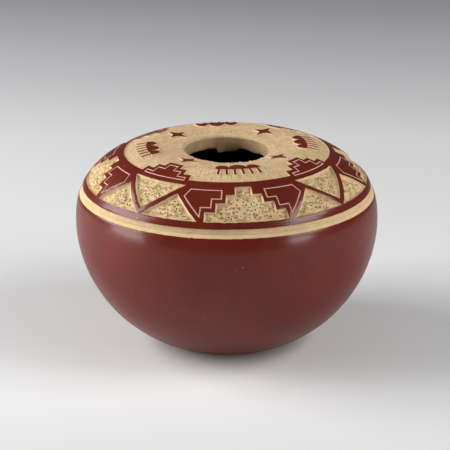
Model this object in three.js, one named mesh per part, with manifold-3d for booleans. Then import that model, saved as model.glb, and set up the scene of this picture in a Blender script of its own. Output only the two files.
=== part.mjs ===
// A coil-built seed pot: a hollow buff clay body, red slip coats on it, and carving through the slip.
// Millimetres, +Z up, with the origin at the middle of the foot. The front of the pot faces -Y.
import * as THREE from "three";
import { mergeVertices } from "three/addons/utils/BufferGeometryUtils.js";
import Module from "manifold-3d";

const wasm = await Module();
wasm.setup();

// The outer wall, over the slip. A roundness is the power of a superellipse, where 2 is an ellipse.
const BODY_RADIUS = 50;
const WIDEST_HEIGHT = 40.7;
const FOOT_RADIUS = 21.3;
const BELLY_ROUNDNESS_OUT = 2.2;
const BELLY_ROUNDNESS_UP = 1.9;
const CROWN_RADIUS = 25;
const SHOULDER_HEIGHT = 25.1;
const SHOULDER_ROUNDNESS_OUT = 1.48;
const SHOULDER_ROUNDNESS_UP = 2.6;

// The mouth, whose lip lies a little below the crown, and the thickness of the clay.
const MOUTH_RADIUS = 14;
const LIP_DROP = 1.5;
const LIP_ROUNDING = 0.9;
const RIM_DEPTH = 4.8;
const RIM_WIDTH = 4;
const WALL_THICKNESS = 4.5;

// The slip coats, and the bare edge of clay that they leave above the resting face.
const SLIP_THICKNESS = 0.2;
const SLIP_CLEARANCE = 0.05;
const BARE_FOOT_EDGE = 0.8;

// Carving depths, below the clay that the slip lies on.
const GROOVE_DEPTH = 0.35;
const WINDOW_DEPTH = 0.6;
const COLLAR_DEPTH = 0.2;

// Places up the wall, measured along its surface: the groove, and above it the carved band, which
// has this share of the room between the groove and the lip. The collar has the rest.
const WIDEST_TO_GROOVE = 9.25;
const GROOVE_WIDTH = 2.9;
const BAND_SHARE = 0.483;

// The pattern goes round the pot four times. The turn is that of its first stepped window.
const REPEATS = 4;
const PATTERN_TURN = THREE.MathUtils.degToRad(8);

// Windows in the band: a stepped terrace, then an upright, a hanging and an upright triangle. The
// margin is the slip left above and below them, and gap and bar are the slip left between them. The
// hanging window's point stays a little above the foot of the others.
const WINDOW_MARGIN = 2.3;
const WINDOW_GAP = 2.2;
const BAR_WIDTH = 1.8;
const TERRACE_HALF_WIDTH = 13.8;
const TERRACE_TOP_HALF_WIDTH = 3.3;
const TERRACE_STEPS = 4;
const HANGING_HALF_WIDTH = 13;
const HANGING_POINT_RISE = 2;
const UPRIGHT_HEIGHT = 9.5;

// Stepped tabs of slip that reach from the band over this share of the collar's width.
const TAB_HALF_WIDTH = 9.5;
const TAB_TOP_HALF_WIDTH = 3.5;
const TAB_SHARE = 0.4;
const TAB_STEPS = 3;

// Islands of slip on the collar: a rain cloud over each terrace, and a star between tab and lip,
// whose points reach this share of the collar's width from its middle.
const CLOUD_RISE = 7.6;
const CLOUD_BAR = 1.2;
const CLOUD_MIDDLE_LOBE = 3;
const CLOUD_SIDE_LOBE = 2.2;
const RAIN_LINES = 6;
const RAIN_LENGTH = 3.4;
const RAIN_WIDTH = 0.7;
const STAR_SHARE = 0.2;
const STAR_WAIST = 1.5;

// How finely the surfaces are divided. Outlines are cut into steps no longer than their step.
const SEGMENTS = 48;
const BELLY_ROW = 8;
const BAND_ROW = 4.6;
const COLLAR_ROW = 6.6;
const INSIDE_ROW = 16;
const OUTLINE_STEP = 5;
const LOBE_DIVISIONS = 4;
const LIP_DIVISIONS = 3;
const CURVE_DIVISIONS = 1500;

// Cutters run past what they cut by the overrun. The prism of a motif reaches to both sides of the
// wall's surface, and past the bulge of the round wall between its flat ends.
const OVERRUN = 1;
const PRISM_REACH = OVERRUN + TERRACE_HALF_WIDTH ** 2 / CROWN_RADIUS;

const CLAY_COLOUR = 0xc9ab80;
const SLIP_COLOUR = 0x6e3028;

// The outline of half the wall, from the foot's edge up to the lip: x is the radius, y the height.
class WallCurve extends THREE.Curve {
  getPoint(t, target = new THREE.Vector2()) {
    if (t < 1 / 3) return this.belly(3 * t, target);
    if (t < 2 / 3) return this.shoulder(3 * t - 1, target);
    return this.collar(3 * t - 2, target);
  }

  belly(share, target) {
    const footTurn = Math.acos((FOOT_RADIUS / BODY_RADIUS) ** (BELLY_ROUNDNESS_OUT / 2));
    const drop = WIDEST_HEIGHT / Math.sin(footTurn) ** (2 / BELLY_ROUNDNESS_UP);
    const turn = footTurn * (1 - share);
    return target.set(
      BODY_RADIUS * Math.cos(turn) ** (2 / BELLY_ROUNDNESS_OUT),
      WIDEST_HEIGHT - drop * Math.sin(turn) ** (2 / BELLY_ROUNDNESS_UP),
    );
  }

  shoulder(share, target) {
    const turn = (share * Math.PI) / 2;
    const outward = (BODY_RADIUS - CROWN_RADIUS) * Math.cos(turn) ** (2 / SHOULDER_ROUNDNESS_OUT);
    const upward = SHOULDER_HEIGHT * Math.sin(turn) ** (2 / SHOULDER_ROUNDNESS_UP);
    return target.set(CROWN_RADIUS + outward, WIDEST_HEIGHT + upward);
  }

  // The collar dishes gently from the crown down to the lip.
  collar(share, target) {
    const inward = (CROWN_RADIUS - MOUTH_RADIUS - LIP_ROUNDING) * share;
    const downward = LIP_DROP * share ** 2;
    return target.set(CROWN_RADIUS - inward, WIDEST_HEIGHT + SHOULDER_HEIGHT - downward);
  }
}

const wall = new WallCurve();
wall.arcLengthDivisions = CURVE_DIVISIONS;
const LIP = wall.getLength();
const GROOVE_LOW = wall.getLengths()[CURVE_DIVISIONS / 3] + WIDEST_TO_GROOVE;
const GROOVE_TOP = GROOVE_LOW + GROOVE_WIDTH;
const COLLAR_EDGE = GROOVE_TOP + (LIP - GROOVE_TOP) * BAND_SHARE;
const COLLAR_WIDTH = LIP - COLLAR_EDGE;
const UNDER_SLIP = -(SLIP_THICKNESS + SLIP_CLEARANCE);
const WINDOW_BASE = GROOVE_TOP + WINDOW_MARGIN;
const WINDOW_TOP = COLLAR_EDGE - WINDOW_MARGIN;
const HANGING_POINT = WINDOW_BASE + HANGING_POINT_RISE;
const TAB_TOP = COLLAR_EDGE + COLLAR_WIDTH * TAB_SHARE;
const CLOUD_BASE = COLLAR_EDGE + CLOUD_RISE;
const STAR_MIDDLE = (TAB_TOP + LIP) / 2;
const STAR_REACH = COLLAR_WIDTH * STAR_SHARE;

// On the sunk collar the slip still stands on a little uncut clay, which is modelled with it.
const COLLAR_SLIP_THICKNESS = SLIP_THICKNESS + COLLAR_DEPTH;

// The point at a length along the wall, lifted outwards from it, as radius and height.
function wallPoint(along, lift = 0) {
  const point = wall.getPointAt(along / LIP);
  const tangent = wall.getTangentAt(along / LIP);
  return new THREE.Vector2(point.x + lift * tangent.y, point.y - lift * tangent.x);
}

// Even places along the wall from low to high, no further apart than a step.
function rowsBetween(low, high, step) {
  const count = Math.ceil((high - low) / step);
  return Array.from({ length: count + 1 }, (_, row) => low + ((high - low) * row) / count);
}

const bellyRows = rowsBetween(BARE_FOOT_EDGE, GROOVE_LOW, BELLY_ROW);
const bandRows = rowsBetween(GROOVE_TOP, COLLAR_EDGE, BAND_ROW);
const collarRows = rowsBetween(COLLAR_EDGE, LIP, COLLAR_ROW);

function solidOf(geometry) {
  geometry.deleteAttribute("normal");
  geometry.deleteAttribute("uv");
  const merged = mergeVertices(geometry);
  return new wasm.Manifold(
    new wasm.Mesh({
      numProp: 3,
      vertProperties: merged.attributes.position.array,
      triVerts: new Uint32Array(merged.index.array),
    }),
  );
}

// Turns a profile of radius and height points round the upright axis.
function revolve(profile) {
  return solidOf(new THREE.LatheGeometry(profile, SEGMENTS).rotateX(Math.PI / 2));
}

// A ring of the wall between two lifts from its surface, through the given rows.
function ringShell(rows, low, high) {
  const outside = rows.map((along) => wallPoint(along, high));
  const inside = rows.map((along) => wallPoint(along, low)).reverse();
  return revolve([...outside, ...inside, outside[0]]);
}

// Cuts the sides of a closed outline into short steps, so that they follow the round wall.
function refine(outline) {
  return outline.flatMap((start, index) => {
    const end = outline[(index + 1) % outline.length];
    const pieces = Math.ceil(start.distanceTo(end) / OUTLINE_STEP);
    return Array.from({ length: pieces }, (_, piece) => start.clone().lerp(end, piece / pieces));
  });
}

// A prism square to the wall on an outline of points. Their y is the length along the wall, and x
// is measured from the turn's direction along the circle that goes round the wall at base.
function prism(outline, turn, base) {
  const contour = refine(outline);
  if (THREE.ShapeUtils.isClockWise(contour)) contour.reverse();
  const count = contour.length;
  const circleRadius = wallPoint(base).x;
  const place = (point, lift) => {
    const angle = turn + point.x / circleRadius;
    const { x: radius, y: height } = wallPoint(point.y, lift);
    return [radius * Math.sin(angle), -radius * Math.cos(angle), height];
  };
  const caps = THREE.ShapeUtils.triangulateShape(contour, []);
  const bottom = caps.flatMap(([a, b, c]) => [a, c, b]);
  const top = caps.flatMap(([a, b, c]) => [a + count, b + count, c + count]);
  const sides = contour.flatMap((_, index) => {
    const next = (index + 1) % count;
    return [index, next, next + count, index, next + count, index + count];
  });
  const corners = [
    ...contour.flatMap((point) => place(point, -PRISM_REACH)),
    ...contour.flatMap((point) => place(point, PRISM_REACH)),
  ];
  const geometry = new THREE.BufferGeometry();
  geometry.setAttribute("position", new THREE.Float32BufferAttribute(corners, 3));
  geometry.setIndex([...bottom, ...top, ...sides]);
  return solidOf(geometry);
}

// A stepped outline that narrows upwards by the same run and rise at each step.
function steppedOutline(base, top, halfWidth, topHalfWidth, steps) {
  const run = (halfWidth - topHalfWidth) / (steps - 1);
  const rise = (top - base) / steps;
  const rightSide = Array.from({ length: steps }, (_, step) => [
    new THREE.Vector2(halfWidth - step * run, base + step * rise),
    new THREE.Vector2(halfWidth - step * run, base + (step + 1) * rise),
  ]).flat();
  const leftSide = rightSide.map((point) => new THREE.Vector2(-point.x, point.y)).reverse();
  return [...rightSide, ...leftSide];
}

function terraceOutline() {
  const widths = [TERRACE_HALF_WIDTH, TERRACE_TOP_HALF_WIDTH];
  return steppedOutline(WINDOW_BASE, WINDOW_TOP, ...widths, TERRACE_STEPS);
}

// The tab's outline starts a little way down in the band, so that the two join.
function tabOutline() {
  const widths = [TAB_HALF_WIDTH, TAB_TOP_HALF_WIDTH];
  const outline = steppedOutline(COLLAR_EDGE, TAB_TOP, ...widths, TAB_STEPS);
  outline.at(0).y -= OVERRUN;
  outline.at(-1).y -= OVERRUN;
  return outline;
}

// The window that hangs point down from the top of the band.
function hangingOutline() {
  return [
    new THREE.Vector2(HANGING_HALF_WIDTH, WINDOW_TOP),
    new THREE.Vector2(-HANGING_HALF_WIDTH, WINDOW_TOP),
    new THREE.Vector2(0, HANGING_POINT),
  ];
}

// The window that stands point up between a hanging one and a terrace. Its near side is parallel
// to the hanging window's side. Side is 1 on the right and -1 on the left.
function uprightOutline(side) {
  const lean = HANGING_HALF_WIDTH / (WINDOW_TOP - HANGING_POINT);
  const near = BAR_WIDTH * Math.hypot(1, lean) - HANGING_POINT_RISE * lean;
  const far = (wallPoint(WINDOW_BASE).x * Math.PI) / REPEATS - TERRACE_HALF_WIDTH - WINDOW_GAP;
  return [
    new THREE.Vector2(side * near, WINDOW_BASE),
    new THREE.Vector2(side * far, WINDOW_BASE),
    new THREE.Vector2(side * (near + UPRIGHT_HEIGHT * lean), WINDOW_BASE + UPRIGHT_HEIGHT),
  ];
}

// A rain cloud: three round lobes on a bar, and straight rain lines that fall outwards from it.
function cloudOutline() {
  const half = CLOUD_MIDDLE_LOBE + 2 * CLOUD_SIDE_LOBE;
  const spacing = (2 * half) / RAIN_LINES;
  const shape = new THREE.Shape().moveTo(-half, CLOUD_BASE);
  const lobes = [CLOUD_SIDE_LOBE, CLOUD_MIDDLE_LOBE, CLOUD_SIDE_LOBE];
  let left = -half;
  for (const radius of lobes) {
    shape.absarc(left + radius, CLOUD_BASE + CLOUD_BAR, radius, Math.PI, 0, true);
    left += 2 * radius;
  }
  shape.lineTo(half, CLOUD_BASE);
  for (let line = RAIN_LINES - 1; line >= 0; line--) {
    const middle = -half + (line + 0.5) * spacing;
    shape.lineTo(middle + RAIN_WIDTH / 2, CLOUD_BASE);
    shape.lineTo(middle + RAIN_WIDTH / 2, CLOUD_BASE - RAIN_LENGTH);
    shape.lineTo(middle - RAIN_WIDTH / 2, CLOUD_BASE - RAIN_LENGTH);
    shape.lineTo(middle - RAIN_WIDTH / 2, CLOUD_BASE);
  }
  shape.closePath();
  return shape.getPoints(LOBE_DIVISIONS).slice(0, -1);
}

function starOutline() {
  return Array.from({ length: 8 }, (_, corner) => {
    const reach = corner % 2 ? STAR_WAIST : STAR_REACH;
    const angle = (corner * Math.PI) / 4;
    return new THREE.Vector2(reach * Math.cos(angle), STAR_MIDDLE + reach * Math.sin(angle));
  });
}

// One prism for each repeat of a motif. Share is its place within the repeat, from 0 to 1.
function repeated(outline, share, base) {
  const pitch = (2 * Math.PI) / REPEATS;
  return Array.from({ length: REPEATS }, (_, copy) => {
    return prism(outline, PATTERN_TURN + (copy + share) * pitch, base);
  });
}

const windowPrisms = [
  ...repeated(terraceOutline(), 0, WINDOW_BASE),
  ...repeated(hangingOutline(), 0.5, WINDOW_BASE),
  ...repeated(uprightOutline(1), 0.5, WINDOW_BASE),
  ...repeated(uprightOutline(-1), 0.5, WINDOW_BASE),
];
const tabPrisms = repeated(tabOutline(), 0.5, COLLAR_EDGE);
const cloudPrisms = repeated(cloudOutline(), 0, CLOUD_BASE);
const starPrisms = repeated(starOutline(), 0.5, STAR_MIDDLE);

// The clay's profile: foot, belly, groove, band, sunk collar, lip, rim and then back down inside.
function clayProfile() {
  const carvedCollar = UNDER_SLIP - COLLAR_DEPTH;
  const grooveMiddle = (GROOVE_LOW + GROOVE_TOP) / 2;
  const lipTop = wallPoint(LIP, carvedCollar);
  const lipWidth = lipTop.x - MOUTH_RADIUS;
  const lip = Array.from({ length: LIP_DIVISIONS }, (_, step) => {
    const turn = ((step + 1) / LIP_DIVISIONS) * (Math.PI / 2);
    return new THREE.Vector2(
      lipTop.x - lipWidth * Math.sin(turn),
      lipTop.y - LIP_ROUNDING * (1 - Math.cos(turn)),
    );
  });
  const rim = [
    new THREE.Vector2(MOUTH_RADIUS, lipTop.y - RIM_DEPTH + LIP_ROUNDING),
    new THREE.Vector2(lipTop.x, lipTop.y - RIM_DEPTH),
  ];
  const inside = rowsBetween(0, LIP - RIM_WIDTH, INSIDE_ROW).map((along) => {
    return wallPoint(along, -WALL_THICKNESS);
  });
  return [
    new THREE.Vector2(0, 0),
    new THREE.Vector2(FOOT_RADIUS, 0),
    wallPoint(BARE_FOOT_EDGE),
    ...bellyRows.map((along) => wallPoint(along, UNDER_SLIP)),
    wallPoint(grooveMiddle, UNDER_SLIP - GROOVE_DEPTH),
    ...bandRows.map((along) => wallPoint(along, UNDER_SLIP)),
    ...collarRows.map((along) => wallPoint(along, carvedCollar)),
    ...lip,
    ...rim,
    ...inside.reverse(),
    new THREE.Vector2(0, inside.at(-1).y),
  ];
}

function makeClayBody() {
  const pocketShell = ringShell(bandRows, UNDER_SLIP - WINDOW_DEPTH, OVERRUN);
  let clay = revolve(clayProfile());
  for (const cut of windowPrisms) clay = clay.subtract(pocketShell.intersect(cut));
  return clay;
}

function makeBellySlip() {
  const [first, ...rest] = bellyRows;
  return ringShell([first + SLIP_CLEARANCE, ...rest], -SLIP_THICKNESS, 0);
}

// The band's slip with its tabs, which fill the step down to the sunk collar.
function makeShoulderSlip() {
  const sunkRows = collarRows.slice(1);
  const step = COLLAR_EDGE + SLIP_CLEARANCE;
  const outside = [...bandRows, ...sunkRows].map((along) => wallPoint(along));
  const inside = [
    ...bandRows.map((along) => wallPoint(along, -SLIP_THICKNESS)),
    wallPoint(step, -SLIP_THICKNESS),
    ...[step, ...sunkRows].map((along) => wallPoint(along, -COLLAR_SLIP_THICKNESS)),
  ];
  const shell = revolve([...outside, ...inside.reverse(), outside[0]]);
  let kept = ringShell([GROOVE_TOP - OVERRUN, COLLAR_EDGE], -PRISM_REACH, PRISM_REACH);
  for (const tab of tabPrisms) kept = kept.add(tab);
  for (const cut of windowPrisms) kept = kept.subtract(cut);
  return shell.intersect(kept);
}

function makeIslands(prisms) {
  const shell = ringShell(collarRows, -COLLAR_SLIP_THICKNESS, 0);
  return prisms.map((kept) => shell.intersect(kept));
}

function geometryOf(solid) {
  const mesh = solid.getMesh();
  const geometry = new THREE.BufferGeometry();
  geometry.setAttribute("position", new THREE.BufferAttribute(mesh.vertProperties, 3));
  geometry.setIndex(new THREE.BufferAttribute(mesh.triVerts, 1));
  geometry.computeVertexNormals();
  return geometry;
}

function makeMesh(name, solid, color, roughness) {
  const material = new THREE.MeshStandardMaterial({ color, roughness, metalness: 0 });
  const mesh = new THREE.Mesh(geometryOf(solid), material);
  mesh.name = name;
  return mesh;
}

const clayMesh = (name, solid) => makeMesh(name, solid, CLAY_COLOUR, 0.9);
const slipMesh = (name, solid) => makeMesh(name, solid, SLIP_COLOUR, 0.35);

const pot = new THREE.Group();
pot.add(clayMesh("clay_body", makeClayBody()));
pot.add(slipMesh("belly_slip", makeBellySlip()));
pot.add(slipMesh("shoulder_slip", makeShoulderSlip()));
makeIslands(cloudPrisms).forEach((solid, index) => {
  pot.add(slipMesh(`cloud_slip_${index + 1}`, solid));
});
makeIslands(starPrisms).forEach((solid, index) => {
  pot.add(slipMesh(`star_slip_${index + 1}`, solid));
});

export default pot;
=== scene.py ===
"""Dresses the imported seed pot: hand-cut carving, burnished slip and bare clay, in a plain studio."""

import random
from math import acos, ceil, cos, dist, hypot, isnan, nan, pi, radians, sin, sqrt, tau

import bmesh
import bpy
import numpy as np
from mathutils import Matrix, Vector, kdtree, noise
from mathutils.geometry import delaunay_2d_cdt


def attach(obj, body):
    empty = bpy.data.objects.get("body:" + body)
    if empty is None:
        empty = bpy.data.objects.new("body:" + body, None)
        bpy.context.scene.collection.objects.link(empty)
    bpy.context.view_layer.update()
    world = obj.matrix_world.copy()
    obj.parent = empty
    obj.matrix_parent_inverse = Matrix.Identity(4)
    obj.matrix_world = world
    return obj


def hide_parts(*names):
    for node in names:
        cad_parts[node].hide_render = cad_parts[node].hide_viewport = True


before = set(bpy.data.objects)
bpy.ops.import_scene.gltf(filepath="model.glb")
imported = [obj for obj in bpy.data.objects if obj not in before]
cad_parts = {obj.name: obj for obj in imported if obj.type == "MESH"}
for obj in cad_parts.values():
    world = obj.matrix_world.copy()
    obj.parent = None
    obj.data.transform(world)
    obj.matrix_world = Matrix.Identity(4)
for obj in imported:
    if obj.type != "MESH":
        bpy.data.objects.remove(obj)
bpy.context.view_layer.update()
dice = random.Random(7)

# Lengths are millimetres up to the moment when a mesh is made. The wall is that of the CAD model,
# and each of its two swells has a roundness outwards and one upwards.
METRES = 0.001
BODY_RADIUS = 50
WIDEST_HEIGHT = 40.7
FOOT_RADIUS = 21.3
BELLY_ROUNDNESS = (2.2, 1.9)
CROWN_RADIUS = 25
SHOULDER_HEIGHT = 25.1
SHOULDER_ROUNDNESS = (1.48, 2.6)
MOUTH_RADIUS = 14
LIP_DROP = 1.5
LIP_ROUNDING = 0.9
RIM_DEPTH = 4.8
RIM_WIDTH = 4
WALL_THICKNESS = 4.5
WALL_SAMPLES = 3000

# The layers, as lifts from the outer surface of the slip.
SLIP_THICKNESS = 0.2
UNDER_SLIP = -0.25
WINDOW_FLOOR = -0.85
COLLAR_FLOOR = -0.45
GROOVE_FLOOR = -0.65

# The pattern, as in the CAD model.
WIDEST_TO_GROOVE = 9.25
GROOVE_WIDTH = 2.9
BAND_SHARE = 0.483
REPEATS = 4
PATTERN_TURN = radians(8)
WINDOW_MARGIN = 2.3
WINDOW_GAP = 2.2
BAR_WIDTH = 1.8
TERRACE_HALF_WIDTH = 13.8
TERRACE_TOP_HALF_WIDTH = 3.3
TERRACE_STEPS = 4
HANGING_HALF_WIDTH = 13
HANGING_POINT_RISE = 2
UPRIGHT_HEIGHT = 9.5
TAB_HALF_WIDTH = 9.5
TAB_TOP_HALF_WIDTH = 3.5
TAB_SHARE = 0.4
TAB_STEPS = 3
CLOUD_RISE = 7.6
CLOUD_BAR = 1.2
CLOUD_MIDDLE_LOBE = 3
CLOUD_SIDE_LOBE = 2.2
LOBE_CORNERS = 9
RAIN_LINES = 6
RAIN_LENGTH = 3.4
RAIN_WIDTH = 0.7
STAR_POINTS = 4
STAR_SHARE = 0.2
STAR_WAIST = 1.5

# The soft hollows and dents of a hand, which fade out towards the mouth. Each list of layers here
# gives a height, a size and a seed for each layer of noise.
MIDDLE_HOLLOW = 0.07
LEAST_HOLLOW = 0.02
HOLLOW_FADE = 20
HOLLOW_LAYERS = [(0.07, 17, 0.0), (0.03, 6, 4.0)]

# How a hand cuts: steps along a line, how far it strays, and the widths of the sloped cut sides.
CUT_STEP = 0.75
STRAY_LENGTH = 1.9
WINDOW_STRAY = 0.15
MOTIF_STRAY = 0.07
EDGE_ROUNDING = 0.14
EDGE_DROP = 0.05
WINDOW_SIDE = 0.42
COLLAR_SIDE = 0.3
MITRE_LIMIT = 0.12
OFFSET_KEPT = 0.97

# The fine outlines incised in the slip.
LINE_HALF_WIDTH = 0.19
LINE_DEPTH = 0.15
LINE_INSET = 1.6
TAB_LINE_FOOT = 0.3

# A tool line runs round each window's floor, and pits fill its middle.
TOOL_LINE_INSET = 0.5
TOOL_LINE_HALF_WIDTH = 0.15
TOOL_LINE_DEPTH = 0.1
PIT_DARTS = 12
PIT_CLEARANCE = 0.5
PIT_SPACING = 1.25
PIT_SPACING_SHARES = (0.8, 1.3)
PIT_CROWDING = 0.5
PIT_CROWD_SIZE = 3
PIT_CORNERS = 7
PIT_CORNER_SHARES = (0.8, 1.1)
PIT_HALF_LENGTHS = [0.26, 0.32, 0.4, 0.58]
PIT_HALF_WIDTHS = (0.22, 0.34)
PIT_DEPTH = 0.45
PIT_DEPTH_SHARES = (0.5, 1)
PIT_CORE = 0.62

# Scratches fan out over the collar in belts: where one starts and ends below the lip, and how many
# places it has round the mouth. Low ridges run the same way.
SCRATCH_BELTS = [(0, 9, 120), (9, 20, 130)]
SCRATCH_STARTS = (0.4, 2.4)
SCRATCH_LENGTHS = (1, 3.6)
SCRATCH_GAPS = (0.5, 2.5)
SCRATCH_LEAN = 0.3
SCRATCH_SHAKE = 0.2
SCRATCH_HALF_WIDTH = 0.13
SCRATCH_DEPTH = 0.12
SCRATCH_CLEARANCE = 0.6
FAN_DEPTH = 0.04
FAN_WIDTH = 0.9
FAN_LENGTH = 7

# The roughness of cut clay: full on the windows' floors, a share of it on the collar, and none
# from a margin above that.
WINDOW_ROUGHNESS = 0.16
COLLAR_SHARE = 0.2
ROUGH_MARGIN = 0.02
ROUGH_LAYERS = [(0.6, 1.05, 1.0), (0.4, 0.5, 9.0)]

# Across the groove from its low edge, shares of its width with their lifts: a bevel, a fine tool
# line, a slope and a wall.
GROOVE_PROFILE = [
    (0, -SLIP_THICKNESS), (0.04, -0.22), (0.22, -0.42), (0.41, GROOVE_FLOOR),
    (0.45, GROOVE_FLOOR - TOOL_LINE_DEPTH), (0.5, GROOVE_FLOOR), (0.7, 0.93 * GROOVE_FLOOR),
    (0.88, 0.85 * GROOVE_FLOOR), (0.95, -0.4), (1, -SLIP_THICKNESS),
]
BEVEL_ROWS = 4
GROOVE_ROUGHNESS = 0.03
GROOVE_ROUGH_SIZE = 1.1
GROOVE_ROUGH_SPREAD = 9

# The slip on the belly has a thin uneven edge above the bare foot, and chips at the groove.
BARE_FOOT_EDGE = 0.8
BELLY_MARGINS = (1, 0.6)
THIN_EDGE_WIDTH = 0.3
THIN_EDGE_STRAY = 0.3
THIN_EDGE_SIZE = 2.6
CHIP_SIZE = 0.9
CHIP_DEPTH = 0.9
CHIP_THRESHOLD = 0.32

# The lip is crisp and low at the front right, and soft and raised at the far left.
CRISP_LIP_DROP = 0.25
SOFT_LIP_DROP = 0.95
RAISED_HEIGHT = 1.1
RAISED_WIDTH = 8
RAISED_WAY = radians(-135)
NOTCH_DEPTH = 0.42
NOTCH_LENGTH = 0.5

# The mouth's inner wall goes down in shares of its height to the ragged end of the last coil, and
# up behind that in steps back, each with its share of the height. The wall inside has low coils.
RIM_SHARES = (0.1, 0.3, 0.5, 0.68, 0.84)
RIM_BACK_STEPS = ((0.05, 0.95), (0.4, 1.0), (1.0, 0.98), (1.9, 0.86))
# These first rows of the inner wall take a dimmer clay colour, which is painted shade. The rows below
# them and the inside take a near-black colour, which is painted shade of the dark inside.
RIM_LIT_ROWS = 7
RIM_DENT_DEPTH = 0.12
RIM_DENT_SIZE = 3.2
RIM_BULGE = 0.2
RIM_UNDERCUT = 0.55
RAGGED_RISE = 0.95
RAGGED_HEIGHT = 0.25
LUMP_RANGE = (-0.5, 1)
LUMP_LAYERS = [(1, 4.5, 11.0), (0.45, 1.3, 5.0)]
COIL_PITCH = 7
COIL_DEPTH = 0.22

# How low the ragged coil end hangs, by the way round from the back: a square lump, then a slack.
HANGING_DROP = 1.35
HANGING_WAYS = [-15, -11, -3.4, -3.0, 2.2, 4.3, 6, 9, 13]
HANGING_SHARES = [0.4, 0.1, 0, 1, 1, 0, 0, 0.45, 0.6]

# The foot: radii of its flat face, steps in from its worn edge with their heights, and lengths up
# the bare wall with their lifts.
FOOT_RADII = (0, 8, 15)
FOOT_WEAR = ((3, 0), (1.2, 0.06), (0.15, 0.15))
FOOT_WALL = ((0.35, -0.08), (BARE_FOOT_EDGE, -0.02))
INSIDE_FLOOR_SHARES = (1, 0.6, 0.25, 0)

# How finely the meshes are laid out. Room is the share of its spacing that a grid keeps clear.
FLOOR_SPACING = 0.46
COLLAR_SPACING = 0.5
SLIP_SPACING = 0.8
GRID_SHAKE = 0.18
PIT_ROOM = 0.8
CUT_ROOM = 0.55
GROOVE_SEGMENTS = 512
LIP_SEGMENTS = 384
LIP_ROWS = 7
CLAY_ROW = 4
BELLY_ROW = 1.4
BACK_ROW = 3 * BELLY_ROW
COIL_ROW = 2.4
JOIN_DISTANCE = 0.002
MERGE_DISTANCE = 1e-6
INSIDE_ONLY = 1
SHARP_ANGLE = radians(38)

# Which finish of the clay each field of the carving has. The rest of the clay is plainly cut.
CLAY_FINISHES = {
    "floor": "window_clay",
    # Pits get darker colours: painted shade in them.
    "pit": "pit_side_clay",
    "core": "pit_clay",
    "collar": "collar_clay",
    # Scratches get a darker colour: painted shade in their grooves.
    "scratch": "scratch_clay",
}

# Colours as the screen shows them.
SLIP_DARK = (90, 26, 16)
SLIP_LIGHT = (101, 32, 20)
SLIP_GRAIN = (112, 46, 33)
SLIP_SPECKS = (186, 132, 116)
CLAY_LIGHT = (214, 187, 148)
CLAY_TONES = ((197, 169, 130), CLAY_LIGHT)
CLAY_SPOTS = (158, 130, 92)

# Sizes and depths of the looks are millimetres. Most of a noise lies between its low and its high
# value. A tint has the values where it starts and where it is full, and its strength there.
NOISE_LOW = 0.3
NOISE_HIGH = 0.7
MOTTLE_SIZE = 13
MOTTLE_DEPTH = 0.12
SLIP_GRAIN_SIZE = 0.8
SLIP_GRAIN_DEPTH = 0.006
SLIP_GRAIN_TINT = (0.3, 0.7, 0.3)
STROKE_SIZE = 1.4
STROKE_STRETCH = (9, 9, 0.6)
STROKE_DEPTH = 0.012
SPECK_CELL = 8
SPECK_TINT = (0.24, 0.168, 0.8)
GLOSS_TINT = (1, 0.5, 0.42, 1)
SLIP_ROUGHNESS = (0.3, 0.42)
PATCH_SIZE = 3.2
CLAY_GRAIN_SIZE = 0.42
CLAY_GRAIN_DEPTH = 0.11
SPOT_TINT = (0.56, 0.74, 0.55)
MARK_RANGE = (0.45, 0.62)
ROUGHNESS_SPREAD = 0.06

# How far the marks of a tool are drawn out the way round, outwards and upwards.
ROUND = (14, 1, 1)
FAN = (1, 14, 14)
EVEN = (1, 1, 1)

# The looks of bare clay: its two tones, the colour of its spots, its roughness, and any marks of a
# tool, each with its way, its size and depth in millimetres, and its strength.
CLAY_LOOKS = {
    "incised_line": (((204, 162, 144), (218, 180, 162)), (190, 146, 128), 0.8),
    "cut_clay": (((202, 172, 134), (220, 192, 154)), CLAY_SPOTS, 0.85),
    "window_clay": (((207, 179, 135), (224, 197, 151)), CLAY_SPOTS, 0.9, (EVEN, 1.1, 0.2, 0.85)),
    # The pits' sides are darker and their cores darker still: painted shade in the pits.
    "pit_side_clay": (((146, 122, 84), (172, 146, 104)), (120, 98, 64), 0.95),
    "pit_clay": (((92, 76, 46), (126, 104, 66)), (76, 62, 38), 0.95),
    "collar_clay": (CLAY_TONES, CLAY_SPOTS, 0.88, (FAN, 0.4, 0.04, 0.2), (EVEN, 0.8, 0.06, 0.3)),
    # The scratches are darker than the collar: painted shade in their grooves.
    "scratch_clay": (((150, 122, 86), (170, 142, 104)), CLAY_SPOTS, 0.9),
    "groove_clay": (CLAY_TONES, CLAY_SPOTS, 0.85, (ROUND, 0.35, 0.05, 0.3)),
    # The groove's bevel is lighter, with light spots: painted light on its upward face.
    "bevel_clay": (((206, 178, 136), (222, 194, 150)), CLAY_LIGHT, 0.85, (ROUND, 0.35, 0.03, 0.3)),
    # The mouth's inner wall is dimmer than the collar and the inside is near black: painted shade.
    "rim_clay": (((158, 132, 98), (180, 152, 114)), (130, 106, 76), 0.9),
    "inside_clay": (((34, 27, 20), (48, 38, 28)), (26, 20, 15), 0.95),
    "foot_clay": (CLAY_TONES, CLAY_SPOTS, 0.85, (ROUND, 0.8, 0.04, 0.3)),
}

# The studio, in metres, degrees and pixels of the photograph's 450 x 450 frame. The sensor's width
# is in millimetres.
IMAGE_WIDTH = 450
SENSOR_WIDTH = 36
FOCAL_PIXELS = 2254
CAMERA_DISTANCE = 0.75
CAMERA_ELEVATION = 19.15
CAMERA_LOOK_HEIGHT = 0.0335
AIM_PIXELS_UP = 12.4
AIM_PIXELS_LEFT = 1.7
POT_MIDDLE = Vector((0, 0, 0.035))
LAMP_COLOUR = (1, 0.98, 0.96)
WORLD_COLOUR = (0.9, 0.92, 1, 1)
WORLD_STRENGTH = 0.09

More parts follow.
